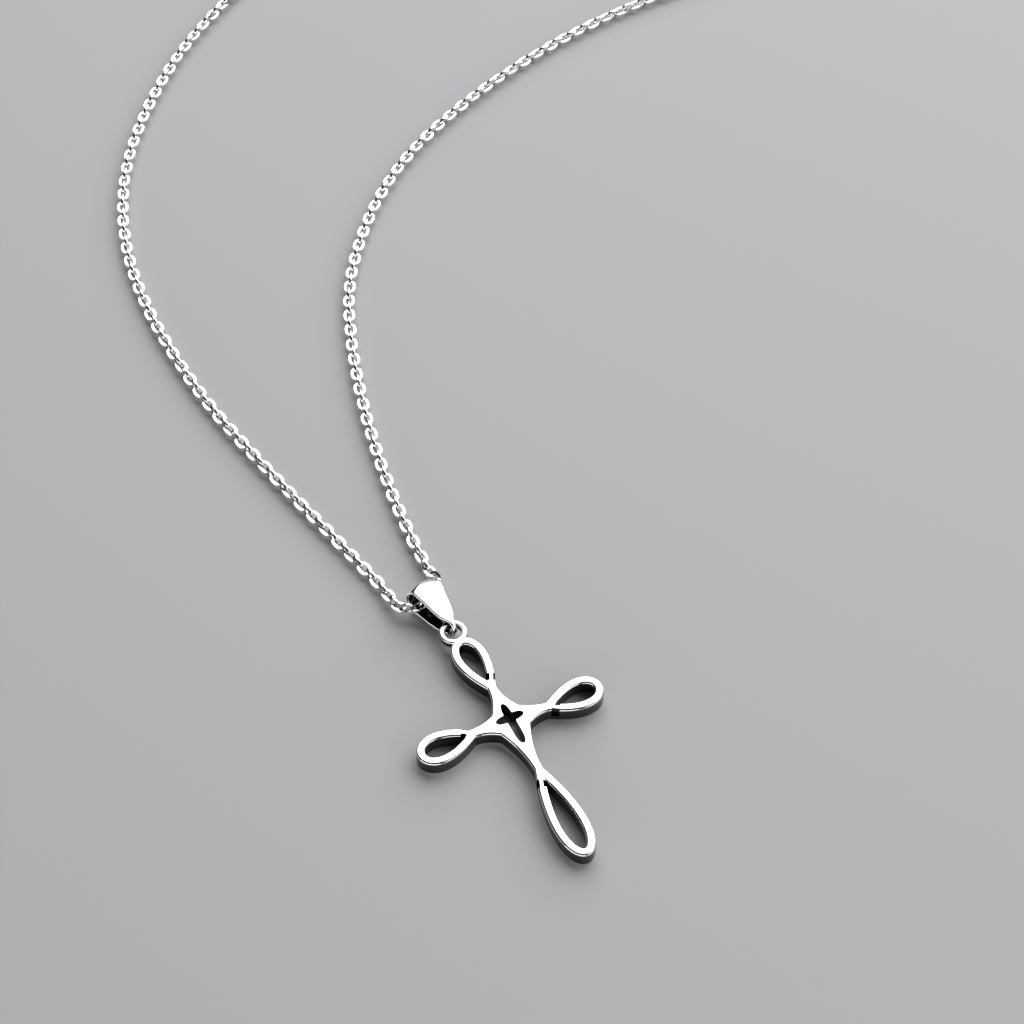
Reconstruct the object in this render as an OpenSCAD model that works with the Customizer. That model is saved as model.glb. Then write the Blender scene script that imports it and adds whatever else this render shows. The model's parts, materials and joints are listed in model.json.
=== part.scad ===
// Cross pendant on a fine cable chain, laid flat as on a table. A looped cross hangs by its ring
// from a folded bail, the chain runs through the bail, and a clasp and an end ring close it.
// Lengths are millimetres. Each piece is drawn round the middle of the star that pierces the
// cross, with +Y up the stem, +X along the arms and the cross's flat back at z = 0. The whole
// is then moved so that the origin lies under the middle of everything.

/* [Cross] */
// Thickness of the cross from its flat back to its mirror face
cross_t = 1.8; // [1.5:0.1:2.2]
// Width of the strand that draws each loop
strand_w = 0.9; // [0.8:0.02:0.96]
// Distance of the upper loop's crossing from the middle of the star
top_cross = 3.95; // [3.7:0.05:4.3]
// Length of the upper loop from its crossing, along the middle of the strand
top_loop = 6.15; // [5.8:0.05:6.5]
// Half width of the upper loop, to the middle of the strand
top_half = 1.27; // [1.15:0.01:1.4]
// Lean of the upper loop and its ring to the left, about their crossing, in degrees
top_lean = 4.4; // [3:0.2:5]
// Distance of each side loop's crossing from the middle of the star
side_cross = 3.9; // [3.6:0.05:4]
// Length of each side loop from its crossing
side_loop = 5.44; // [5:0.02:6]
// Half width of each side loop
side_half = 1.34; // [1.2:0.01:1.45]
// Drop of the right loop under the middle line of the arms
right_drop = 0.44; // [0:0.02:0.5]
// Distance of the foot loop's crossing from the middle of the star
foot_cross = 6.4; // [6:0.05:6.8]
// Length of the foot loop from its crossing
foot_loop = 9.75; // [9:0.05:10.5]
// Half width of the foot loop
foot_half = 1.32; // [1.2:0.01:1.45]
// Half width of the body where it meets the upper side of the arms
body_half = 1.5; // [1.35:0.01:1.65]
// Height over the arms' middle at which the upper corners of the body lie
corner_up = 1.02; // [0.9:0.01:1.15]
// Depth under the arms' middle at which the lower corners of the body lie
corner_low = 1.35; // [1.2:0.01:1.5]

/* [Passes where one limb dips under the other] */
// Distance of the upper loop's pass from its crossing, along the limb
top_pass = 0.78; // [0.7:0.02:0.9]
// Distance of each side loop's pass from its crossing, along the limb
side_pass = 0.36; // [0.3:0.02:0.9]
// Distance of the foot loop's pass from its crossing, along the limb
foot_pass = 1.14; // [0.8:0.02:1.3]
// Length of each pass
pass_len = 0.8; // [0.5:0.05:0.9]
// Width of the bridge that is left at full height
bridge_w = 0.32; // [0.26:0.02:0.4]
// Depth of the notches beside the bridge
notch_depth = 1.1; // [0.6:0.1:1.3]

/* [Star pierced through the middle] */
// Reach of the upper petal
star_up = 1.72; // [1.5:0.01:1.85]
// Reach of the side petals
star_side = 1.47; // [1.3:0.01:1.6]
// Reach of the lower petal
star_down = 3.12; // [2.6:0.01:3.2]
// Half width of the upper and lower petals near their base
petal_half = 0.44; // [0.34:0.01:0.46]

/* [Ring at the top of the cross] */
// Radius of the hole that the bail passes through
ring_hole_r = 0.86; // [0.8:0.01:0.9]
// Width of the ring's band
ring_band = 0.56; // [0.45:0.01:0.6]
// Thickness of the ring, flush with the face
ring_t = 0.9; // [0.8:0.05:0.95]

/* [Bail] */
// Length of the folded bail
bail_len = 6.8; // [6.6:0.1:7]
// Height of the bail at its fold, from leaf to leaf
bail_h = 2.8; // [2.7:0.05:2.9]
// Height of the bail at its tip, outside the bend that grips the ring
tip_h = 2.06; // [2:0.02:2.1]
// Width of the bail at its widest, near the fold
bail_w = 3.56; // [3.3:0.02:3.6]
// Thickness of the bail's metal
bail_wall = 0.35; // [0.3:0.01:0.36]
// Lean of the bail to the left of the stem, in degrees
bail_lean = 9; // [7:1:10]
// Roll of the bail on to its right edge, in degrees
bail_roll = 10; // [8:1:11]
// Lift of the bail's fold, which holds it clear of the surface, in degrees
bail_lift = 4.5; // [4.5:0.1:5]

/* [Chain, clasp and end ring] */
// Outer width of the chain's links, which is the diameter of the tube that stands for them
chain_d = 1.4; // [1.1:0.05:1.45]
// Outer diameter of the clasp's ring
clasp_d = 5.5; // [5.2:0.1:5.6]
// Thickness of the clasp's ring
clasp_wire = 0.9; // [0.8:0.02:0.94]
// Outer diameter of the end ring
end_ring_d = 2.5; // [2.5:0.05:2.6]
// Thickness of the end ring's wire
end_wire = 0.4; // [0.36:0.02:0.42]

/* [Hidden] */
$fn = 64;
silver = [0.84, 0.84, 0.86];
gap = 0.1;
teardrop_peak = 0.7698;
loop_steps = 44;
flare_steps = 14;
petal_steps = 20;
bend_steps = 24;

// The necklace's course, as [x, y, height of the chain's middle]. It starts at the clasp's eye,
// comes down the left strand, passes through the bail, climbs the right strand and goes round
// to the end ring.
chain_z = chain_d / 2;
clasp_at = [100, 125];
route = [
    [88, 125, chain_z], [73, 124.5, chain_z], [58, 123.5, chain_z], [44, 121, chain_z],
    [31, 117, chain_z], [21, 112.2, chain_z], [13, 107.5, chain_z], [6, 102.2, chain_z],
    [-0.5, 95.5, chain_z], [-5.7, 88.3, chain_z], [-9.2, 81, chain_z], [-11.3, 73.3, chain_z],
    [-12.1, 65, chain_z], [-11.9, 57, chain_z], [-11.1, 49.5, chain_z], [-9.6, 41.8, chain_z],
    [-7.8, 34, chain_z], [-6.4, 28.4, chain_z], [-5.45, 24.2, chain_z], [-4.95, 21.4, chain_z],
    [-4.55, 19.2, 0.75], [-4.15, 17.15, 1.15], [-3.27, 15.9, 1.65], [-2.07, 15.75, 1.7],
    [-0.87, 16, 1.6], [0.33, 16.35, 1.4], [1.23, 17.05, 1.2], [1.48, 18.1, 0.95],
    [1.25, 19.5, 0.75], [0.95, 21.4, chain_z], [0.9, 25.2, chain_z],
    [1.4, 30.5, chain_z], [2.4, 37, chain_z], [3.9, 44, chain_z], [6.1, 51.4, chain_z],
    [9, 58.5, chain_z], [13, 64.6, chain_z], [18.2, 70.3, chain_z], [24.6, 75.2, chain_z],
    [32.5, 79.2, chain_z], [41, 82.3, chain_z], [50, 84.6, chain_z], [59, 85.8, chain_z],
    [70, 86.1, chain_z], [85, 85.5, chain_z], [100, 85, chain_z], [115, 84.8, chain_z],
    [128, 85.4, chain_z], [138.5, 88.8, chain_z], [146, 95.6, chain_z], [149, 105, chain_z],
    [146, 114.6, chain_z], [138, 121.6, chain_z], [127, 124.8, chain_z], [115, 125, chain_z]
];

// A loop is a teardrop: pointed at its crossing, widest two thirds of the way and round at its
// end. t runs from 0 at the crossing to 180 degrees at the end.
function drop_point(t, length, half) =
    [half / teardrop_peak * sin(t) * sin(t / 2), length / 2 * (1 - cos(t))];
function drop_slope(t, length, half) =
    [half / teardrop_peak * (cos(t) * sin(t / 2) + sin(t) * cos(t / 2) / 2), length / 2 * sin(t)];
function drop_edge(length, half, out) = [
    for (i = [0 : loop_steps])
        let (t = 2 + 178 * i / loop_steps, p = drop_point(t, length, half),
             s = drop_slope(t, length, half))
        p + out * [s[1], -s[0]] / norm(s)
];
// Angle between a limb and the loop's middle line at the crossing
function limb_angle(length, half) = atan(2 * half / (teardrop_peak * length));
// Half width of the body where it runs into the two crossing limbs
function neck_half(length, half) = strand_w / 2 / cos(limb_angle(length, half)) - 0.02;

function reversed(list) = [for (i = [len(list) - 1 : -1 : 0]) list[i]];
function mirrored(list) = [for (p = reversed(list)) [-p[0], p[1]]];

// Smooth line through points, in steps of at most the given length
function along(a, b, c, d, u) =
    0.5 * (2 * b + (c - a) * u + (2 * a - 5 * b + 4 * c - d) * u * u
           + (3 * b - a - 3 * c + d) * u * u * u);
function smooth_line(points, step) = [
    for (i = [0 : len(points) - 2])
        let (b = points[i], c = points[i + 1],
             a = i > 0 ? points[i - 1] : 2 * b - c,
             d = i < len(points) - 2 ? points[i + 2] : 2 * c - b,
             pieces = max(1, ceil(norm(c - b) / step)))
        for (k = [0 : pieces - 1]) along(a, b, c, d, k / pieces),
    points[len(points) - 1]
];

// Cross

module limb(length, half, side) {
    edges = concat(drop_edge(length, half, strand_w / 2),
                   reversed(drop_edge(length, half, -strand_w / 2)));
    linear_extrude(cross_t) polygon([for (p = edges) [side * p[0], p[1]]]);
}

// The limb that dips under keeps a bridge at full height between two square notches.
module passing_limb(length, half, pass) {
    difference() {
        limb(length, half, 1);
        rotate([0, 0, -limb_angle(length, half)])
            for (left = [-bridge_w / 2 - strand_w, bridge_w / 2])
                translate([left, pass, cross_t - notch_depth])
                    cube([strand_w, pass_len, cross_t]);
    }
}

module loop(length, half, pass, turn, crossing, lean = 0, aside = 0) {
    rotate([0, 0, turn]) translate([aside, crossing, 0]) rotate([0, 0, lean]) {
        passing_limb(length, half, pass);
        limb(length, half, -1);
    }
}

// The body narrows from its corners to each neck along a parabola, and ends in a point inside
// the crossing of each loop. The arm sinks along its way by the given drop.
crossing_tip = 0.4;
function flare(from_half, to_half, s) = to_half + (from_half - to_half) * pow(1 - s, 2);
function body_side(drop) =
    let (top_neck = neck_half(top_loop, top_half), side_neck = neck_half(side_loop, side_half),
         foot_neck = neck_half(foot_loop, foot_half), low_half = body_half + 0.1)
    concat(
        [for (i = [0 : flare_steps]) let (s = 1 - i / flare_steps)
            [flare(body_half, top_neck, s), corner_up + (top_cross - corner_up) * s]],
        [for (i = [1 : flare_steps]) let (s = i / flare_steps)
            [body_half + (side_cross - body_half) * s, flare(corner_up, side_neck, s) - drop * s]],
        [[side_cross + crossing_tip, -drop]],
        [for (i = [0 : flare_steps]) let (s = 1 - i / flare_steps)
            [low_half + (side_cross - low_half) * s, -flare(corner_low, side_neck, s) - drop * s]],
        [for (i = [1 : flare_steps]) let (s = i / flare_steps)
            [flare(low_half, foot_neck, s), -corner_low - (foot_cross - corner_low) * s]]
    );

// A petal from its base to its round tip and back. The higher its bluntness, the nearer to the
// tip its sides stay straight.
petal_base = 0.5;
function petal(reach, half, bluntness, turn) =
    let (start = asin(pow(petal_base / reach, bluntness / 2)))
    [
        for (i = [0 : petal_steps])
            let (a = start + (180 - 2 * start) * i / petal_steps,
                 x = half * cos(a), y = reach * pow(sin(a), 2 / bluntness))
            [x * cos(turn) - y * sin(turn), x * sin(turn) + y * cos(turn)]
    ];

module star() {
    polygon(concat(
        petal(star_up, petal_half, 3, 0),
        petal(star_side, petal_half + 0.03, 3, 90),
        petal(star_down, petal_half, 7, 180),
        petal(star_side, petal_half + 0.03, 3, 270)
    ));
}

ring_reach = top_loop + strand_w / 2 + ring_hole_r + 0.05;
ring_at = [-ring_reach * sin(top_lean), top_cross + ring_reach * cos(top_lean)];
ring_r = ring_hole_r + ring_band;

module cross() {
    color(silver) {
        linear_extrude(cross_t) difference() {
            polygon(concat(body_side(right_drop), [[0, -foot_cross - crossing_tip]],
                           mirrored(body_side(0)), [[0, top_cross + crossing_tip]]));
            star();
        }
        loop(top_loop, top_half, top_pass, 0, top_cross, top_lean);
        loop(side_loop, side_half, side_pass, -90, side_cross, aside = right_drop);
        loop(foot_loop, foot_half, foot_pass, 180, foot_cross);
        loop(side_loop, side_half, side_pass, 90, side_cross);
        translate([ring_at[0], ring_at[1], cross_t - ring_t]) difference() {
            cylinder(h = ring_t, r = ring_r);
            translate([0, 0, -1]) cylinder(h = ring_t + 2, r = ring_hole_r);
        }
    }
}

// Bail

fold_r = bail_h / 2;
tip_r = tip_h / 2;
ring_mid_z = cross_t - ring_t / 2;
// The bail hangs a little low on the ring, so that its lower edge just reaches the surface.
bail_drop = 0.035;
// The bend at the tip lies round the ring's band, inside the ring's hole.
bail_foot = ring_at + [0.18, ring_hole_r + ring_band / 2 - 0.17 - tip_r];
// Half width of the bail, as [distance from the tip, share of its full half width]
bail_rows = [
    [-0.5, 0.14], [0.8, 0.15], [1.2, 0.24], [1.6, 0.4], [2, 0.5],
    [3, 0.65], [4, 0.75], [5, 0.86], [5.6, 0.93], [6, 0.97]
];
crown_rise = 0.56;

// Side view of the bail, shrunk by some amount: a small bend at the tip and a large one at the
// fold, with straight leaves between them
module bail_outline(shrink) {
    span = bail_len - fold_r - tip_r;
    tilt = asin((fold_r - tip_r) / span);
    polygon(concat(
        [for (i = [0 : bend_steps]) let (a = 90 + tilt - (180 + 2 * tilt) * i / bend_steps)
            [bail_len - fold_r, 0] + (fold_r - shrink) * [cos(a), sin(a)]],
        [for (i = [0 : bend_steps]) let (a = -90 - tilt - (180 - 2 * tilt) * i / bend_steps)
            [tip_r, 0] + (tip_r - shrink) * [cos(a), sin(a)]]
    ));
}

// Half of the shallow arc over the fold, from the given share of the half width to the middle
function crown(from, top) = [
    for (i = [0 : 8]) let (u = from * (1 - i / 8))
        [bail_w / 2 * u, top - crown_rise * u * u]
];

// Plan of the bail: narrow at the tip, wide at the fold, with a shallow arc over the fold
module bail_plan() {
    side = concat(
        smooth_line([for (r = bail_rows) [bail_w / 2 * r[1], r[0]]], 0.3),
        crown(0.95, bail_len)
    );
    polygon(concat(side, mirrored(side)));
}

// Plan of the hollow between the leaves: open at both sides, and short of the arc by the wall
module hollow_plan() {
    side = concat([[bail_w, -1]], crown(2, bail_len - bail_wall));
    polygon(concat(side, mirrored(side)));
}

// The side view shrunk by some amount, across the whole width, inside the plan that is given
module folded(shrink) {
    intersection() {
        rotate([0, 0, 90]) rotate([90, 0, 0]) translate([0, 0, -bail_w])
            linear_extrude(2 * bail_w) bail_outline(shrink);
        translate([0, 0, -bail_h]) linear_extrude(2 * bail_h) children();
    }
}

module bail() {
    color(silver)
        translate([bail_foot[0], bail_foot[1], ring_mid_z - bail_drop]) rotate([0, 0, bail_lean])
            translate([0, tip_r, 0]) rotate([bail_lift, 0, 0]) rotate([0, bail_roll, 0])
                translate([0, -tip_r, 0]) difference() {
                    folded(0) bail_plan();
                    folded(bail_wall) hollow_plan();
                }
}

// Clasp and end ring

clasp_r = (clasp_d - clasp_wire) / 2;
eye_r = 0.75;
eye_wire = 0.44;
clasp_z = eye_r + eye_wire / 2;
eye_x = clasp_at[0] - clasp_d / 2 - eye_r + 0.05;
end_r = (end_ring_d - end_wire) / 2;
end_x = clasp_at[0] + clasp_r + 0.2;

module wire_ring(mid_r, wire) {
    rotate_extrude() translate([mid_r, 0]) circle(wire / 2, $fn = 32);
}

// The clasp's ring lies level, on its eye at one side and in the end ring at the other. Both of
// those stand on edge, so that the chain's end links lie flat through them.
module clasp() {
    color(silver) {
        translate([clasp_at[0], clasp_at[1], clasp_z]) wire_ring(clasp_r, clasp_wire);
        translate([eye_x, clasp_at[1], clasp_z]) rotate([90, 0, 0]) wire_ring(eye_r, eye_wire);
    }
}

module end_ring() {
    color(silver)
        translate([end_x, clasp_at[1], end_ring_d / 2]) rotate([90, 0, 0]) wire_ring(end_r, end_wire);
}

// Chain

chain_start = [eye_x - eye_r - eye_wire / 2 - gap, clasp_at[1], chain_z];
chain_end = [end_x + end_ring_d / 2 + gap, clasp_at[1], chain_z];
course = smooth_line(concat([chain_start], route, [chain_end]), 9);
sides = 8;

function heading(points, i) =
    let (a = points[max(0, i - 1)], b = points[min(len(points) - 1, i + 1)]) (b - a) / norm(b - a);
function ring_points(points, i, r) =
    let (h = heading(points, i), across = cross(h, [0, 0, 1]) / norm(cross(h, [0, 0, 1])),
         up = cross(across, h))
    [for (k = [0 : sides - 1]) points[i] + r * (cos(360 * k / sides) * across + sin(360 * k / sides) * up)];
chain_skin = [for (i = [0 : len(course) - 1]) each ring_points(course, i, chain_d / 2)];

module chain() {
    last = (len(course) - 1) * sides;
    walls = [
        for (i = [0 : len(course) - 2]) for (k = [0 : sides - 1])
            let (a = i * sides + k, b = i * sides + (k + 1) % sides)
            [a, b, b + sides, a + sides]
    ];
    ends = [
        [for (k = [sides - 1 : -1 : 0]) k],
        [for (k = [0 : sides - 1]) last + k]
    ];
    color(silver) polyhedron(points = chain_skin, faces = concat(walls, ends), convexity = 6);
}

// Middle of everything, seen from above
foot_end = foot_cross + foot_loop + strand_w / 2;
skin_x = [for (p = chain_skin) p[0]];
skin_y = [for (p = chain_skin) p[1]];
middle = [(min(skin_x) + max(skin_x)) / 2, (max(skin_y) - foot_end) / 2];

module placed() {
    translate([-middle[0], -middle[1], 0]) children();
}

placed() cross();
placed() bail();
placed() chain();
placed() clasp();
placed() end_ring();
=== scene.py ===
# %% [markdown]
# # A silver cross pendant, laid on a table
#
# The pendant is an openwork cross: one flat strand that loops at each end, with a star pierced
# through the middle. It hangs from a folded bail on a fine cable chain. This lesson dresses the
# plain solids of the frame: it rounds their edges, links the chain and gives all of it a polish.

# %% Tools and frame
import json
import math

import bpy
from mathutils import Matrix, Vector

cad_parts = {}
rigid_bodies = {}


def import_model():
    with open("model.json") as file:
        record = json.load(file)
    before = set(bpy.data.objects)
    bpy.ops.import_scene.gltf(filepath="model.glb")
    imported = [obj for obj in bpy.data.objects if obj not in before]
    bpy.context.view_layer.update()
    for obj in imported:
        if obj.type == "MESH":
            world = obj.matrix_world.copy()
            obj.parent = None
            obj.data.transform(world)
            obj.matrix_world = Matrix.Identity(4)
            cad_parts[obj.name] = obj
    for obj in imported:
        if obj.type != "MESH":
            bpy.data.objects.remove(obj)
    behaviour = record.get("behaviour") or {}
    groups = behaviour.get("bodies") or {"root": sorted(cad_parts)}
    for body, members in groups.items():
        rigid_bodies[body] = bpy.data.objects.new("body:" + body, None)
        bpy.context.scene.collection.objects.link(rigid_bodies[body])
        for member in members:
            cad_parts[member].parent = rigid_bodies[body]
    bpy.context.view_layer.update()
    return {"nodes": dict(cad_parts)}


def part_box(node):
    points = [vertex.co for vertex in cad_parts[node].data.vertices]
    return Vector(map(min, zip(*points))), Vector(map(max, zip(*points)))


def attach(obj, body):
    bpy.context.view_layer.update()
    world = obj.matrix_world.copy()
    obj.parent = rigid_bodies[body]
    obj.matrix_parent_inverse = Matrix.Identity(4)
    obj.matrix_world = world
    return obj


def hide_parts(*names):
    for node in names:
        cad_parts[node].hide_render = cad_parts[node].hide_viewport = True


MM = 0.001

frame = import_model()
print("frame nodes:", ", ".join(sorted(frame["nodes"])))

# %% [markdown]
# Jewellery is small. Blender's modelling tools compare lengths with fixed tolerances that suit
# furniture, so each piece here is modelled with one unit for a millimetre, round the middle of
# the star, and is shrunk to metres and moved to its place as the very last step.

# %% Where the star lies
STAR_TO_FOOT = 16.6

cross_low, cross_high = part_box("cross")
star = Vector(((cross_low.x + cross_high.x) / 2, cross_low.y + STAR_TO_FOOT * MM, 0))
to_place = Matrix.Translation(star) @ Matrix.Scale(MM, 4)
print("star at", [round(v, 5) for v in star])

# %% [markdown]
# ## Camera, floor and light
#
# The camera looks down at the table from the lower left with a long lens. Polished silver shows
# only what stands round it, so the light is arranged by what the metal should mirror. A large
# soft lamp stands where the flat faces throw the camera's line of sight, behind the necklace, and
# turns them white. It ends not far to the left of that line and above it. What an edge mirrors as
# it begins to turn is therefore dark, and a low lamp on the camera's own side draws the bright
# line further down. A weaker lamp on the right keeps the edges on that side white.

# %% Camera
CAMERA_AT = Vector((-54.067, -110.474, 197.842))
CAMERA_TURN = math.radians(26.18)
CAMERA_TILT = math.radians(53)
LENS = 84.375

heading = Vector((math.sin(CAMERA_TURN), math.cos(CAMERA_TURN), 0))
upwards = Vector((0, 0, 1))
view_line = heading * math.cos(CAMERA_TILT) - upwards * math.sin(CAMERA_TILT)

camera_data = bpy.data.cameras.new("camera")
camera_data.lens = LENS
camera_data.sensor_width = 36
camera_data.clip_start = 0.01
camera = bpy.data.objects.new("camera", camera_data)
bpy.context.scene.collection.objects.link(camera)
camera.location = star + CAMERA_AT * MM
camera.rotation_euler = view_line.to_track_quat("-Z", "Y").to_euler()
bpy.context.scene.camera = camera
print(f"camera: {CAMERA_AT.length:.0f} mm from the star")

# %% Floor
FLOOR_SIZE = 4
FLOOR_DROP = 0.02

bpy.ops.object.select_all(action="DESELECT")
bpy.ops.mesh.primitive_plane_add(size=FLOOR_SIZE, location=(0, 0, -FLOOR_DROP * MM))
floor = bpy.context.object
floor.name = "floor"
floor_finish = bpy.data.materials.new("pale_table")
floor_finish.use_nodes = True
floor_shader = floor_finish.node_tree.nodes["Principled BSDF"]
floor_shader.inputs["Base Color"].default_value = (0.5, 0.5, 0.51, 1)
floor_shader.inputs["Roughness"].default_value = 0.7
floor.data.materials.append(floor_finish)
print(f"floor: {FLOOR_SIZE} m square, {FLOOR_DROP} mm under the necklace")


# %% Lamps
def from_heading(turn, elevation):
    """Direction turned clockwise from the camera's heading and raised, both in degrees."""
    compass = CAMERA_TURN + math.radians(turn)
    level = Vector((math.sin(compass), math.cos(compass), 0))
    return level * math.cos(math.radians(elevation)) + upwards * math.sin(math.radians(elevation))


def softbox(name, direction, distance, width, height, radiance):
    """A flat lamp turned to the star, with the power that makes its face as bright as asked."""
    data = bpy.data.lights.new(name, "AREA")
    data.shape = "RECTANGLE"
    data.size = width
    data.size_y = height
    data.energy = radiance * math.pi * width * height
    lamp = bpy.data.objects.new(name, data)
    bpy.context.scene.collection.objects.link(lamp)
    lamp.location = star + direction.normalized() * distance
    lamp.rotation_euler = (-direction).to_track_quat("-Z", "Y").to_euler()
    print(f"{name}: {width} by {height} m, {distance} m from the star")


softbox("face_lamp", from_heading(22, 43), distance=0.8, width=1.3, height=1, radiance=2.5)
softbox("edge_lamp", from_heading(-155, 12), distance=0.8, width=1.6, height=0.3, radiance=2)
softbox("right_lamp", from_heading(110, 30), distance=1, width=1.1, height=0.7, radiance=1.1)

# %% Dim room
ROOM_LIGHT = 0.05

world = bpy.data.worlds.new("studio")
bpy.context.scene.world = world
world.use_nodes = True
world.node_tree.nodes["Background"].inputs["Color"].default_value = (0.9, 0.95, 1, 1)
world.node_tree.nodes["Background"].inputs["Strength"].default_value = ROOM_LIGHT
bpy.context.scene.view_settings.view_transform = "Standard"
print("room light:", ROOM_LIGHT)

# %% [markdown]
# ## Silver
#
# Polished silver is a mirror with a very faint haze. The walls of the holes, the bottoms of the
# notches and the inside of the bail get a dark colour: painted shade and painted reflection, for
# the shade they lie in and the dark room they mirror. That shade could be painted on by hand. Two
# rules find it here instead, so the cross needs no unwrapping: a wall's normal points sideways, and
# a notch's bottom lies partway up the metal. The inside of the bail has neither mark, so it gets a
# finish of its own.

# %% Polished silver
SILVER = (0.93, 0.92, 0.9, 1)
HAZE_SCALE = 1400
MIRROR_ROUGHNESS = 0.05
HAZE_ROUGHNESS = 0.12


def silver_finish(name, colour):
    """Metal polished to a mirror, with a haze in spots of less than a millimetre."""
    finish = bpy.data.materials.new(name)
    finish.use_nodes = True
    nodes = finish.node_tree.nodes
    links = finish.node_tree.links
    shader = nodes["Principled BSDF"]
    shader.inputs["Base Color"].default_value = colour
    shader.inputs["Metallic"].default_value = 1

    place = nodes.new("ShaderNodeTexCoord")
    haze = nodes.new("ShaderNodeTexNoise")
    haze.inputs["Scale"].default_value = HAZE_SCALE
    haze.inputs["Detail"].default_value = 3
    roughness = nodes.new("ShaderNodeMapRange")
    roughness.inputs["To Min"].default_value = MIRROR_ROUGHNESS
    roughness.inputs["To Max"].default_value = HAZE_ROUGHNESS
    links.new(place.outputs["Object"], haze.inputs["Vector"])
    links.new(haze.outputs["Fac"], roughness.inputs["Value"])
    links.new(roughness.outputs["Result"], shader.inputs["Roughness"])
    return finish


# %% Painted shade
# A dark colour for painted shade and painted reflection
PAINTED_SHADE_COLOUR = (0.055, 0.048, 0.042, 1)
PAINTED_SHADE_SHARE = 0.95
PAINTED_SHADE_DULL = 0.12
# How far the normal points up or down, as a share, where the painted shade begins and where it is
# full
WALL_NORMAL = (0.3, 0.05)
# Heights between which the level faces, the bottoms of the notches, get a painted shadow
PAINTED_NOTCH_SHADE = (0.4 * MM, 1.4 * MM)


def math_node(finish, operation, *values):
    """Adds a Math node. Each value is a number or the output of another node."""
    node = finish.node_tree.nodes.new("ShaderNodeMath")
    node.operation = operation
    for socket, value in zip(node.inputs, values):
        if isinstance(value, (int, float)):
            socket.default_value = value
        else:
            finish.node_tree.links.new(value, socket)
    return node.outputs[0]


def paint_shade_on(finish):
    """Paints shade on a silver finish: darkens and dulls it on upright walls and at the notches'
    height.
    """
    nodes = finish.node_tree.nodes
    links = finish.node_tree.links
    place = nodes["Texture Coordinate"]

    # Upright walls get painted shade and painted reflection.
    normal = nodes.new("ShaderNodeSeparateXYZ")
    links.new(place.outputs["Normal"], normal.inputs["Vector"])
    wall = nodes.new("ShaderNodeMapRange")
    wall.inputs["From Min"].default_value = WALL_NORMAL[0]
    wall.inputs["From Max"].default_value = WALL_NORMAL[1]
    wall.inputs["To Max"].default_value = PAINTED_SHADE_SHARE
    links.new(math_node(finish, "ABSOLUTE", normal.outputs["Z"]), wall.inputs["Value"])

    # The bottoms of the notches get a painted shadow.
    spot = nodes.new("ShaderNodeSeparateXYZ")
    links.new(place.outputs["Object"], spot.inputs["Vector"])
    low, high = PAINTED_NOTCH_SHADE
    between = math_node(finish, "COMPARE", spot.outputs["Z"], (low + high) / 2, (high - low) / 2)
    notch = math_node(finish, "MULTIPLY", between, PAINTED_SHADE_SHARE)
    painted_shade_mask = math_node(finish, "MAXIMUM", wall.outputs["Result"], notch)

    shader = nodes["Principled BSDF"]
    colour = nodes.new("ShaderNodeMix")
    colour.data_type = "RGBA"
    colour.inputs["A"].default_value = SILVER
    colour.inputs["B"].default_value = PAINTED_SHADE_COLOUR
    links.new(painted_shade_mask, colour.inputs["Factor"])
    links.new(colour.outputs["Result"], shader.inputs["Base Color"])
    polish = shader.inputs["Roughness"].links[0].from_socket
    dull = math_node(finish, "MULTIPLY_ADD", painted_shade_mask, PAINTED_SHADE_DULL, polish)
    links.new(dull, shader.inputs["Roughness"])


# %% The three finishes
polished = silver_finish("polished_silver", SILVER)
# Silver for the cross, with painted shade on its walls and at the bottoms of its notches
shaded_silver = silver_finish("silver_painted_shade", SILVER)
paint_shade_on(shaded_silver)
# An evenly dark silver: painted shade for the inside of the bail
shaded_inside = silver_finish("inside_painted_shade", PAINTED_SHADE_COLOUR)
print("finishes:", polished.name, shaded_silver.name, shaded_inside.name)

# %% [markdown]
# ## Cross
#
# The cross is one casting, as flat as a coin, with a soft rim where the polishing wheel ran over
# its edges. Bevelling the frame's solid would stumble over the many short edges where its loops
# cross. So only its outline is taken: a copy is sliced low down, under the notches, and the slice
# becomes a flat curve. A curve can be made thick and given an even round rim in one go, however
# tight its corners are. The star's outline is kept apart, because its edge is crisper.


# %% Helpers for edit mode
def select_only(*pieces):
    bpy.ops.object.select_all(action="DESELECT")
    for piece in pieces:
        piece.select_set(True)
    bpy.context.view_layer.objects.active = pieces[0]


def edit(piece, mode="VERT"):
    """Goes into edit mode with the whole piece selected."""
    select_only(piece)
    bpy.ops.object.mode_set(mode="EDIT")
    bpy.ops.mesh.select_mode(type=mode)
    bpy.ops.mesh.select_all(action="SELECT")


def leave_edit():
    bpy.ops.object.mode_set(mode="OBJECT")


def select_vertices(piece, chosen):
    """In edit mode, selects only the vertices whose place passes the test."""
    bpy.ops.mesh.select_all(action="DESELECT")
    leave_edit()
    for vertex in piece.data.vertices:
        vertex.select = chosen(vertex.co)
    bpy.ops.object.mode_set(mode="EDIT")


# %% Outlines of the cross and of its star
SLICE_Z = 0.4
# A point this near to the star's lower tip belongs to the star's outline
STAR_TIP = Vector((0, -3.12, SLICE_Z))
TIP_NEAR = 0.1
WELD = 0.001
OUTLINE_WELD = 0.02

cross = bpy.data.objects.new("cross_dressed", frame["nodes"]["cross"].data.copy())
bpy.context.scene.collection.objects.link(cross)
cross.data.transform(to_place.inverted())
cross.data.materials.clear()
edit(cross)
bpy.ops.mesh.remove_doubles(threshold=WELD)
bpy.ops.mesh.dissolve_limited(angle_limit=math.radians(0.3))
bpy.ops.mesh.select_all(action="SELECT")
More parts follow.
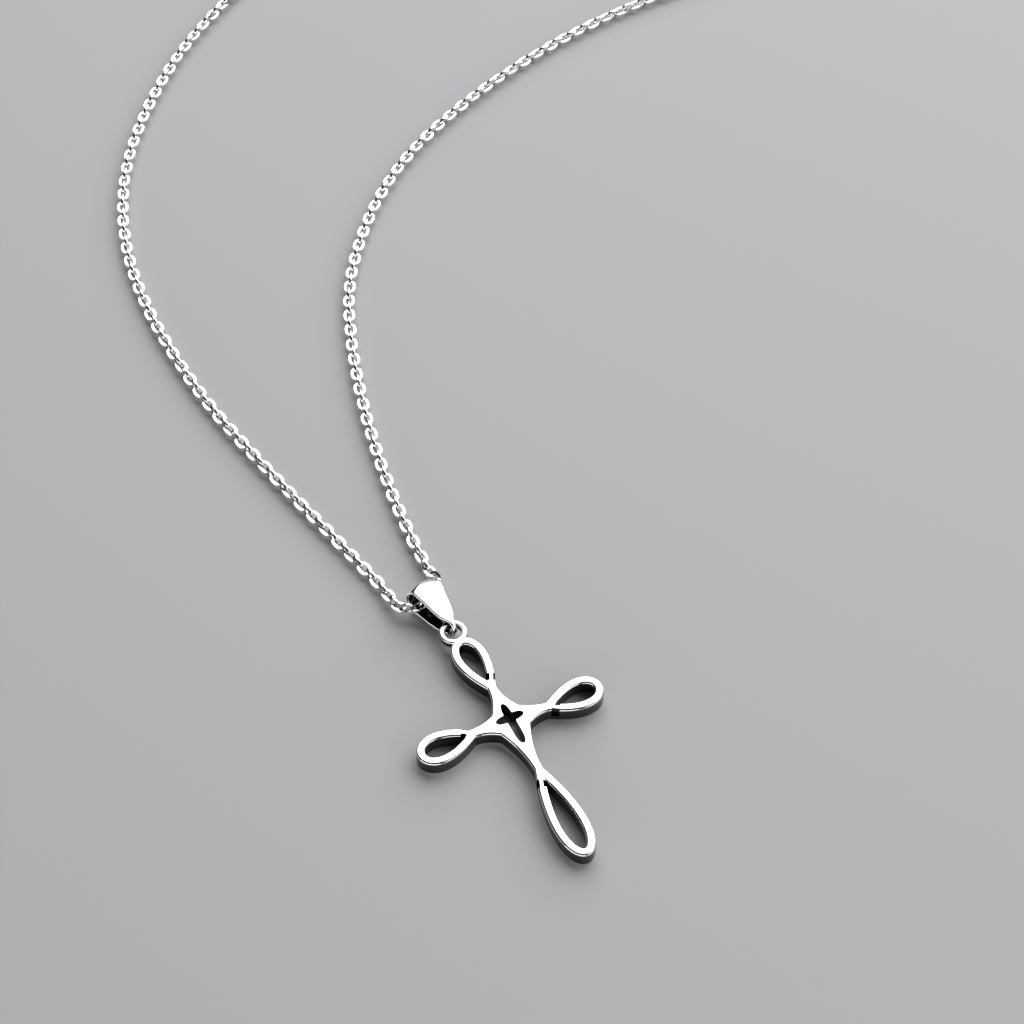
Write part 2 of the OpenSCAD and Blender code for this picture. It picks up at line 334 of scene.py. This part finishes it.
# With both sides of the cut cleared, only the outlines are left.
bpy.ops.mesh.bisect(
    plane_co=(0, 0, SLICE_Z), plane_no=(0, 0, 1), clear_inner=True, clear_outer=True,
)
bpy.ops.mesh.select_all(action="SELECT")
bpy.ops.mesh.remove_doubles(threshold=OUTLINE_WELD)
select_vertices(cross, lambda place: (place - STAR_TIP).length < TIP_NEAR)
bpy.ops.mesh.select_linked()
bpy.ops.mesh.separate(type="SELECTED")
leave_edit()
star_cutter = next(piece for piece in bpy.context.selected_objects if piece is not cross)
print(f"outline points: cross {len(cross.data.vertices)}, star {len(star_cutter.data.vertices)}")

# %% Plate with a round rim
CROSS_T = 1.8
EDGE_ROUND = 0.24
FINE_WELD = 0.0005


def thick_outline(outline, thickness, rim):
    """Turns a flat outline into a plate round z = 0 whose edges are rounded inwards."""
    select_only(outline)
    bpy.ops.object.convert(target="CURVE")
    curve = outline.data
    curve.dimensions = "2D"
    curve.fill_mode = "BOTH"
    curve.extrude = thickness / 2 - rim
    curve.bevel_depth = rim
    curve.bevel_resolution = 3
    curve.offset = -rim
    bpy.ops.object.convert(target="MESH")
    edit(outline)
    bpy.ops.mesh.remove_doubles(threshold=FINE_WELD)
    bpy.ops.mesh.normals_make_consistent(inside=False)
    leave_edit()


thick_outline(cross, CROSS_T, EDGE_ROUND)
cross.data.transform(Matrix.Translation((0, 0, CROSS_T / 2)))
print(f"plate: {len(cross.data.polygons)} faces")

# %% [markdown]
# The ring at the top is half as thick as the cross and flush with its face. It is a short
# cylinder: both caps are inset by the width of its band, the two discs inside are bridged into a
# hole, and the four round edges are bevelled. A torus would be quicker, but its section would be
# as round as wire, and this band's isn't.


# %% Helpers to finish a mesh
def apply_modifiers(piece):
    select_only(piece)
    for modifier in list(piece.modifiers):
        bpy.ops.object.modifier_apply(modifier=modifier.name)


def combine(piece, tool, operation):
    """Adds the tool to the piece, or cuts it away, and deletes the tool."""
    step = piece.modifiers.new("combine", "BOOLEAN")
    step.operation = operation
    step.solver = "EXACT"
    step.object = tool
    apply_modifiers(piece)
    bpy.data.objects.remove(tool)


# %% Ring of the cross
RING_AT = Vector((-0.576, 11.438, 0))
RING_HOLE_R = 0.86
RING_BAND = 0.56
RING_T = 0.9
RING_ROUND = 0.2

bpy.ops.object.select_all(action="DESELECT")
bpy.ops.mesh.primitive_cylinder_add(
    vertices=96, radius=RING_HOLE_R + RING_BAND, depth=RING_T,
    location=RING_AT + Vector((0, 0, CROSS_T - RING_T / 2)),
)
ring = bpy.context.object
bpy.ops.object.transform_apply()
edit(ring, "FACE")
bpy.ops.mesh.select_all(action="DESELECT")
leave_edit()
for face in ring.data.polygons:
    face.select = abs(face.normal.z) > 0.9
bpy.ops.object.mode_set(mode="EDIT")
bpy.ops.mesh.inset(thickness=RING_BAND)
bpy.ops.mesh.bridge_edge_loops()
bpy.ops.mesh.select_mode(type="EDGE")
bpy.ops.mesh.select_all(action="DESELECT")
bpy.ops.mesh.edges_select_sharp(sharpness=math.radians(60))
bpy.ops.mesh.bevel(offset=RING_ROUND, segments=4, profile=0.5)
leave_edit()
print(f"ring: {len(ring.data.polygons)} faces")
combine(cross, ring, "UNION")

# %% [markdown]
# Where a loop's strand crosses itself, one limb seems to dip under the other: two square notches
# leave only a narrow bridge at full height. The notches are boxes. The inner one is bisected along
# the edge of the limb that runs over, so that it stops there. The star is its own outline, filled
# and drawn up. All of them are joined into one tool and cut away in one step.

# %% Star cutter
edit(star_cutter)
bpy.ops.mesh.edge_face_add()
bpy.ops.mesh.extrude_region_move(TRANSFORM_OT_translate={"value": (0, 0, 2 * CROSS_T)})
bpy.ops.mesh.select_all(action="SELECT")
bpy.ops.transform.translate(value=(0, 0, -CROSS_T))
bpy.ops.mesh.normals_make_consistent(inside=False)
leave_edit()
print(f"star cutter: {len(star_cutter.data.polygons)} faces")

# %% Loops of the cross
STRAND_W = 0.9
# Largest value of sin(t) * sin(t / 2), which a loop's half width is divided by
TEARDROP_PEAK = 0.7698
# Each loop, as (turn, crossing, lean, length, half width, distance of its pass from the crossing)
LOOPS = [
    (0, (0, 3.95, 0), 4.4, 6.15, 1.27, 0.78),
    (-90, (0.44, 3.9, 0), 0, 5.44, 1.34, 0.36),
    (180, (0, 6.4, 0), 0, 9.75, 1.32, 1.14),
    (90, (0, 3.9, 0), 0, 5.44, 1.34, 0.36),
]


def over_limb_edge(length, half, ahead):
    """Point on the inner edge of the limb that runs over, and the way from there inwards.

    A loop's middle line is a teardrop: length / 2 * (1 - cos(t)) ahead of its crossing, and
    half / TEARDROP_PEAK * sin(t) * sin(t / 2) to the side.
    """
    t = math.acos(1 - 2 * ahead / length)
    widening = half / TEARDROP_PEAK
    middle = Vector((-widening * math.sin(t) * math.sin(t / 2), ahead, 0))
    spread = widening * (math.cos(t) * math.sin(t / 2) + math.sin(t) * math.cos(t / 2) / 2)
    inwards = Vector((length / 2 * math.sin(t), spread, 0)).normalized()
    return middle + inwards * STRAND_W / 2, inwards


# %% Notches
BRIDGE_W = 0.32
PASS_LEN = 0.8
NOTCH_DEPTH = 1.1

cutters = [star_cutter]
for turn, crossing, lean, length, half, pass_start in LOOPS:
    loop_place = (
        Matrix.Rotation(math.radians(turn), 4, "Z") @ Matrix.Translation(crossing)
        @ Matrix.Rotation(math.radians(lean), 4, "Z")
    )
    limb_angle = math.atan(2 * half / (TEARDROP_PEAK * length))
    for side in (-1, 1):
        bpy.ops.object.select_all(action="DESELECT")
        bpy.ops.mesh.primitive_cube_add(
            size=1, location=(
                side * (BRIDGE_W + STRAND_W) / 2, pass_start + PASS_LEN / 2,
                CROSS_T - NOTCH_DEPTH + CROSS_T / 2,
            ),
            scale=(STRAND_W, PASS_LEN, CROSS_T),
        )
        notch = bpy.context.object
        bpy.ops.object.transform_apply()
        notch.data.transform(Matrix.Rotation(-limb_angle, 4, "Z"))
        if side == -1:
            ahead = (pass_start + PASS_LEN / 2) * math.cos(limb_angle)
            edge, inwards = over_limb_edge(length, half, ahead)
            edit(notch)
            bpy.ops.mesh.bisect(plane_co=edge, plane_no=inwards, clear_inner=True, use_fill=True)
            leave_edit()
        notch.data.transform(loop_place)
        cutters.append(notch)
print(f"cutters: the star and {len(cutters) - 1} notches")
select_only(*cutters)
bpy.ops.object.join()
combine(cross, star_cutter, "DIFFERENCE")

# %% [markdown]
# The cuts leave knife edges, which a narrow bevel breaks. On a mirror the shading matters as much
# as the shape: a weighted normal keeps the large flat face truly flat and lets only the rim turn.


# %% Helper to put a piece in its place
def settle(piece, *nodes):
    """Shrinks a finished piece to metres, puts it in its place and hands it to the frame."""
    piece.data.transform(to_place)
    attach(piece, "root")
    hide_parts(*nodes)
    print(f"{piece.name}: {len(piece.data.polygons)} faces")


# %% Finish of the cross
CUT_ROUND = 0.03

edit(cross)
bpy.ops.mesh.remove_doubles(threshold=FINE_WELD)
bpy.ops.mesh.dissolve_limited(angle_limit=math.radians(0.1))
leave_edit()
broken = cross.modifiers.new("broken edges", "BEVEL")
broken.width = CUT_ROUND
broken.segments = 2
broken.limit_method = "ANGLE"
broken.angle_limit = math.radians(50)
apply_modifiers(cross)
bpy.ops.object.shade_smooth_by_angle(angle=math.radians(50))
even = cross.modifiers.new("even shading", "WEIGHTED_NORMAL")
even.mode = "FACE_AREA"
even.weight = 100
even.keep_sharp = True
apply_modifiers(cross)
cross.data.materials.clear()
# The cross's walls and notch bottoms get painted shade.
cross.data.materials.append(shaded_silver)
settle(cross, "cross")

# %% [markdown]
# ## Bail
#
# The bail is one leaf of sheet, narrow at one end, bent over the chain and closed through the
# ring. A bend modifier gives one radius, but the fold is wider than the tip. So a flat grid is
# wrapped round the side view of the fold, each row as wide as the leaf is there. The ends are then
# merged, the sheet gets its thickness, and its edges are rounded almost to half of it. The grid's
# two outer columns keep a fixed width, because the round edge needs that room even at the narrow
# tip. The bail lies rolled on its right edge, with its fold a little off the table.

# %% Width of the bail's leaf
BAIL_W = 3.56
# Half width of the leaf, as (distance from the tip, share of the full half width)
BAIL_ROWS = [
    (-0.5, 0.14), (0.8, 0.15), (1.2, 0.24), (1.6, 0.4), (2, 0.5),
    (3, 0.65), (4, 0.75), (5, 0.86), (5.6, 0.915), (6, 0.93), (7, 0.91),
]


def smooth_between(a, b, c, d, u):
    """Smooth curve from b to c, at u from 0 to 1, with a before them and d after."""
    return 0.5 * (2 * b + (c - a) * u + (2 * a - 5 * b + 4 * c - d) * u ** 2
                  + (3 * b - a - 3 * c + d) * u ** 3)


def leaf_share(y):
    """Width of the leaf at a distance from the tip, as a share of its full width."""
    places = [row[0] for row in BAIL_ROWS]
    shares = [row[1] for row in BAIL_ROWS]
    last = len(places) - 1
    row = min(max(index for index, place in enumerate(places) if place <= y), last - 1)
    u = (y - places[row]) / (places[row + 1] - places[row])
    before = shares[max(row - 1, 0)]
    after = shares[min(row + 2, last)]
    return smooth_between(before, shares[row], shares[row + 1], after, u)


# %% Side view of the bail
BAIL_LEN = 6.8
FOLD_R = 1.4
TIP_R = 1.03
BAIL_WALL = 0.35


def side_point(turn):
    """Point of the side view's middle line: round the fold, down a leaf, round the tip and back."""
    span = BAIL_LEN - FOLD_R - TIP_R
    tilt = math.asin((FOLD_R - TIP_R) / span)
    fold = FOLD_R - BAIL_WALL / 2
    tip = TIP_R - BAIL_WALL / 2
    fold_arc = fold * (math.pi + 2 * tilt)
    tip_arc = tip * (math.pi - 2 * tilt)
    leaf = span * math.cos(tilt)
    total = fold_arc + tip_arc + 2 * leaf
    run = turn * total
    fold_centre = Vector((BAIL_LEN - FOLD_R, 0))
    tip_centre = Vector((TIP_R, 0))
    under = Vector((math.cos(math.pi / 2 + tilt), -math.sin(math.pi / 2 + tilt)))
    over = Vector((under.x, -under.y))
    if run < fold_arc:
        angle = math.pi / 2 + tilt - run / fold
        return fold_centre + fold * Vector((math.cos(angle), math.sin(angle)))
    run -= fold_arc
    if run < leaf:
        return (fold_centre + fold * under).lerp(tip_centre + tip * under, run / leaf)
    run -= leaf
    if run < tip_arc:
        angle = -math.pi / 2 - tilt - run / tip
        return tip_centre + tip * Vector((math.cos(angle), math.sin(angle)))
    run -= tip_arc
    return (tip_centre + tip * over).lerp(fold_centre + fold * over, run / leaf)


# %% Wrapped sheet
ACROSS = 14
ROUND_THE_SIDE = 140
BAIL_RIM = 0.21
# From CROWN_START on, measured from the tip, the sides of each row fall back behind its middle
CROWN_RISE = 0.56
CROWN_START = 3
CROWN_SPAN = 3

bpy.ops.object.select_all(action="DESELECT")
bpy.ops.mesh.primitive_grid_add(x_subdivisions=ACROSS, y_subdivisions=ROUND_THE_SIDE, size=2)
bail = bpy.context.object
bail.name = "bail_dressed"
for vertex in bail.data.vertices:
    side = side_point((vertex.co.y + 1) / 2 % 1)
    width = BAIL_W / 2 * leaf_share(side.x)
    across = vertex.co.x
    if abs(across) < 1 - 1 / ACROSS:
        across *= (1 - BAIL_RIM / width) / (1 - 2 / ACROSS)
    rise = max(0, min(1, (side.x - CROWN_START) / CROWN_SPAN)) ** 2
    crown = CROWN_RISE * across ** 2 * rise
    vertex.co = (across * width, side.x - crown, side.y)
edit(bail)
bpy.ops.mesh.remove_doubles(threshold=WELD)
bpy.ops.mesh.normals_make_consistent(inside=False)
leave_edit()
print(f"bail's sheet: {len(bail.data.polygons)} faces")

# %% Wall and edges of the bail
BAIL_SHEET = 0.42
BAIL_EDGE = 0.2
BAIL_FOOT = RING_AT + Vector((0.18, -0.06, 1.315))
BAIL_LEAN = math.radians(9)
BAIL_ROLL = math.radians(10)
BAIL_LIFT = math.radians(4.5)

bail.data.materials.append(polished)
# The side that the wall adds, inside the bail, gets the dark painted shade.
bail.data.materials.append(shaded_inside)
wall = bail.modifiers.new("wall", "SOLIDIFY")
wall.thickness = BAIL_SHEET
wall.offset = 0
wall.material_offset = 1
soft = bail.modifiers.new("soft edges", "BEVEL")
soft.width = BAIL_EDGE
soft.segments = 5
soft.limit_method = "ANGLE"
soft.angle_limit = math.radians(50)
apply_modifiers(bail)
bpy.ops.object.shade_smooth_by_angle(angle=math.radians(40))
bail.data.transform(
    Matrix.Translation(BAIL_FOOT) @ Matrix.Rotation(BAIL_LEAN, 4, "Z")
    @ Matrix.Translation((0, TIP_R, 0)) @ Matrix.Rotation(BAIL_LIFT, 4, "X")
    @ Matrix.Rotation(BAIL_ROLL, 4, "Y") @ Matrix.Translation((0, -TIP_R, 0))
)
settle(bail, "bail")

# %% [markdown]
# ## Chain
#
# A cable chain is one link, again and again, each turned a quarter round its neighbour. The link
# is a small torus drawn out along the chain. A link of so fine a chain is pressed flat, so its
# hole is small and its upper side is broad. An array along a curve could repeat it, but couldn't
# ease it past the corners of the bail, so a loop lays each copy by itself. The copies follow the
# chain's course at one even pitch, from the clasp's eye down the left strand, through the bail
# and round to the end ring. No chain lies perfectly even, so each link also rolls a little.

# %% Course of the chain
CHAIN_Z = 0.71
CLASP_AT = Vector((100, 125, 0.97))
EYE_AT = CLASP_AT + Vector((-3.45, 0, 0))
END_RING_AT = Vector((102.5, 125, 1.25))
# The points lie at the height of CHAIN_Z unless they give their own
COURSE = [
    (88, 125), (73, 124.5), (58, 123.5), (44, 121), (31, 117), (21, 112.2), (13, 107.5),
    (6, 102.2), (-0.5, 95.5), (-5.7, 88.3), (-9.2, 81), (-11.3, 73.3), (-12.1, 65), (-11.9, 57),
    (-11.1, 49.5), (-9.6, 41.8), (-7.8, 34), (-6.4, 28.4), (-5.4, 24.2), (-4.72, 21.4),
    (-4.35, 19.2, 0.8), (-4.2, 17.25, 1.1), (-3.7, 16.05, 1.55), (-2.5, 15.7, 1.8),
    (-1.5, 15.8, 1.8), (-0.6, 16.05, 1.65), (0.15, 16.4, 1.5), (0.75, 17.1, 1.3),
    (0.9, 17.9, 1.1), (0.72, 18.7, 0.95), (0.62, 19.7, 0.8), (0.68, 21.5), (0.85, 25.2),
    (1.4, 30.5), (2.4, 37), (3.9, 44), (6.1, 51.4), (9, 58.5), (13, 64.6), (18.2, 70.3),
    (24.6, 75.2), (32.5, 79.2), (41, 82.3), (50, 84.6), (59, 85.8), (70, 86.1), (85, 85.5),
    (100, 85), (115, 84.8), (128, 85.4), (138.5, 88.8), (146, 95.6), (149, 105), (146, 114.6),
    (138, 121.6), (127, 124.8), (115, 125),
]
STEPS = 60
# Place of the first link's end in the clasp's eye, and of the last link's in the end ring
IN_EYE = Vector((-0.3, 0, CHAIN_Z - EYE_AT.z))
IN_END_RING = Vector((0.7, 0, -0.3))


def smooth_course(points):
    """Smooth curve through the points, in short steps."""
    ends = [2 * points[0] - points[1], *points, 2 * points[-1] - points[-2]]
    line = []
    for a, b, c, d in zip(ends, ends[1:], ends[2:], ends[3:]):
        for step in range(STEPS):
            line.append(smooth_between(a, b, c, d, step / STEPS))
    return [*line, points[-1]]


route = [Vector((p[0], p[1], p[2] if len(p) > 2 else CHAIN_Z)) for p in COURSE]
course = smooth_course([EYE_AT + IN_EYE, *route, END_RING_AT + IN_END_RING])
print(f"course: {len(course)} short steps")

# %% Joints of the links
LINK_LEN = 1.86
LINK_WIRE = 0.4
PITCH = LINK_LEN - 2 * LINK_WIRE


def even_points(line, count):
    """Points at one even spacing along a line of short steps, and the line's length."""
    marks = [0]
    for a, b in zip(line, line[1:]):
        marks.append(marks[-1] + (b - a).length)
    points = []
    place = 0
    for number in range(count):
        goal = marks[-1] * number / (count - 1)
        while place < len(marks) - 2 and marks[place + 1] < goal:
            place += 1
        share = (goal - marks[place]) / (marks[place + 1] - marks[place])
        points.append(line[place].lerp(line[place + 1], share))
    return points, marks[-1]


link_count = 2 * round(even_points(course, 2)[1] / PITCH / 2)
joints, course_length = even_points(course, link_count + 1)
print(f"chain: {course_length:.1f} mm in {link_count} links")

# %% [markdown]
# Hundreds of links have to look round with few faces. So the torus has twelve sides, and its wire
# has six corners: one on the outside, one in the hole, two above and two below. The torus is
# pressed down, its upper and lower corners are spread apart to make the flat sides, its hole is
# narrowed, and its two halves are drawn apart.

# %% One link
LINK_W = 1.42
LINK_T = 0.3
HOLE_W = 0.56
FLAT_HALF = 0.13
MIDDLE_R = (LINK_W - LINK_WIRE) / 2

bpy.ops.object.select_all(action="DESELECT")
bpy.ops.mesh.primitive_torus_add(
    major_segments=12, minor_segments=6, major_radius=MIDDLE_R, minor_radius=LINK_WIRE / 2,
)
link = bpy.context.object
link.name = "link"
edit(link)
bpy.ops.transform.resize(value=(1, 1, LINK_T / link.dimensions.z))
for side in (-1, 1):
    select_vertices(
        link, lambda p: abs(p.z) > LINK_T / 4 and (p.xy.length - MIDDLE_R) * side > 0,
    )
    spread = (MIDDLE_R + side * FLAT_HALF) / (MIDDLE_R + side * LINK_WIRE / 4)
    bpy.ops.transform.resize(value=(spread, spread, 1))
select_vertices(link, lambda p: p.xy.length < MIDDLE_R)
bpy.ops.transform.resize(value=(1, HOLE_W / (LINK_W - 2 * LINK_WIRE), 1))
for side in (-1, 1):
    select_vertices(link, lambda p: round(p.x, 3) * side > 0)
    bpy.ops.transform.translate(value=(side * (LINK_LEN - LINK_W) / 2, 0, 0))
leave_edit()
bpy.ops.object.shade_smooth_by_angle(angle=math.radians(60))
link.data.materials.append(polished)
print(f"link: {len(link.data.polygons)} faces")

# %% Chain of links
# How a link rolls out of true, as (degrees, rate along the chain)
SWAYS = [(6, 1.9), (4, 0.31)]
# Where the chain comes round a corner of the bail, its links twist out of the corner's way, as
# (corner, degrees at the corner)
TWISTS = [(Vector((-3.75, 17, 1.2)), -12), (Vector((1, 17.8, 1.1)), 80)]
TWIST_REACH = 2.5

links = []
for number in range(link_count):
    start, end = joints[number], joints[number + 1]
    middle = (start + end) / 2
    along = (end - start).normalized()
    level = upwards.cross(along).normalized()
    roll = 90 * (number % 2)
    for sway, rate in SWAYS:
        roll += sway * math.sin(rate * number)
    for corner, twist in TWISTS:
        roll += twist * max(0, 1 - (middle - corner).length / TWIST_REACH)
    # The links in the eye and in the end ring lie flat, and so does the last but one.
    if number in (0, link_count - 1):
        roll = 0
    up = Matrix.Rotation(math.radians(roll), 3, along) @ along.cross(level)
    turn = Matrix((along, up.cross(along), up)).transposed().to_4x4()
    copy = bpy.data.objects.new(f"link_{number}", link.data.copy())
    copy.data.transform(Matrix.Translation(middle) @ turn)
    bpy.context.scene.collection.objects.link(copy)
    links.append(copy)
bpy.data.objects.remove(link)
select_only(*links)
bpy.ops.object.join()
chain = bpy.context.object
chain.name = "chain_of_links"
settle(chain, "chain")

# %% [markdown]
# ## Clasp and end ring
#
# The chain closes behind the neck, with a plain ring clasp. Its eye and the end ring stand on
# edge, so that the last link at each end lies flat through them. All three are bent from round
# wire, so each is a torus, and a union melts the eye into the clasp as solder would.

# %% Clasp
CLASP_R = 2.3
CLASP_WIRE_R = 0.45
EYE_R = 0.75
EYE_WIRE_R = 0.22

bpy.ops.object.select_all(action="DESELECT")
bpy.ops.mesh.primitive_torus_add(
    major_segments=72, minor_segments=20, major_radius=CLASP_R, minor_radius=CLASP_WIRE_R,
    location=CLASP_AT,
)
clasp = bpy.context.object
clasp.name = "clasp_dressed"
bpy.ops.object.transform_apply()
bpy.ops.object.select_all(action="DESELECT")
bpy.ops.mesh.primitive_torus_add(
    major_segments=40, minor_segments=12, major_radius=EYE_R, minor_radius=EYE_WIRE_R,
    location=EYE_AT, rotation=(math.pi / 2, 0, 0),
)
eye = bpy.context.object
bpy.ops.object.transform_apply()
combine(clasp, eye, "UNION")
bpy.ops.object.shade_smooth_by_angle(angle=math.radians(40))
clasp.data.materials.append(polished)
settle(clasp, "clasp")

# %% End ring
END_RING_R = 1.05
END_RING_WIRE_R = 0.2

bpy.ops.object.select_all(action="DESELECT")
bpy.ops.mesh.primitive_torus_add(
    major_segments=48, minor_segments=12, major_radius=END_RING_R, minor_radius=END_RING_WIRE_R,
    location=END_RING_AT, rotation=(math.pi / 2, 0, 0),
)
end_ring = bpy.context.object
end_ring.name = "end_ring_dressed"
bpy.ops.object.transform_apply()
bpy.ops.object.shade_smooth()
end_ring.data.materials.append(polished)
settle(end_ring, "end_ring")
